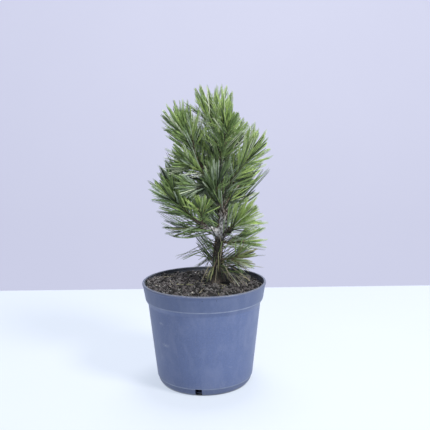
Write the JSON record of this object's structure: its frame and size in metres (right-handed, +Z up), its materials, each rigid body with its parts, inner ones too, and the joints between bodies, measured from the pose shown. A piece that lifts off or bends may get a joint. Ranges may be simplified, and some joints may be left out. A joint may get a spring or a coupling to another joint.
{
  "type": "potted bosnian pine",
  "caption": "Young Bosnian pine with a forked grey trunk and tufts of stiff paired needles, growing in a round collared nursery pot.",
  "frame": {"origin": "centre of the pot's flat underside", "axes": "+Z up along the pot's axis, -Y towards the side that the picture shows, +X to the right in it"},
  "size_m": [0.2369, 0.228, 0.5505],
  "materials": {
    "pot_plastic": "satin moulded slate blue plastic",
    "potting_soil": "rough crumbs of peat and bark",
    "bark": "matt, ridged with old leaf scars",
    "needles": "slightly waxy"
  },
  "bodies": {
    "root": {"back_bough": "bark", "back_left_bough": "bark", "back_left_needles": "needles", "back_low_bough": "bark", "back_low_left_needles": "needles", "back_low_right_needles": "needles", "back_right_bough": "bark", "back_right_needles": "needles", "back_top_needles": "needles", "base_right_needles": "needles", "centre_left_needles": "needles", "foot_back_needles": "needles", "foot_front_needles": "needles", "foot_left_needles": "needles", "foot_right_needles": "needles", "front_mid_needles": "needles", "left_back_needles": "needles", "left_inner_needles": "needles", "left_needles": "needles", "lower_left_bough": "bark", "lower_left_needles": "needles", "lower_right_bough": "bark", "mid_left_needles": "needles", "pot": "pot_plastic", "right_back_needles": "needles", "right_inner_needles": "needles", "right_low_back_needles": "needles", "right_low_needles": "needles", "right_mid_needles": "needles", "right_needles": "needles", "soil": "potting_soil", "top_back_needles": "needles", "top_front_needles": "needles", "top_left_needles": "needles", "trunk": "bark", "upper_back_needles": "needles", "upper_left_bough": "bark", "upper_left_needles": "needles", "upper_right_bough": "bark"}
  },
  "joints": []
}
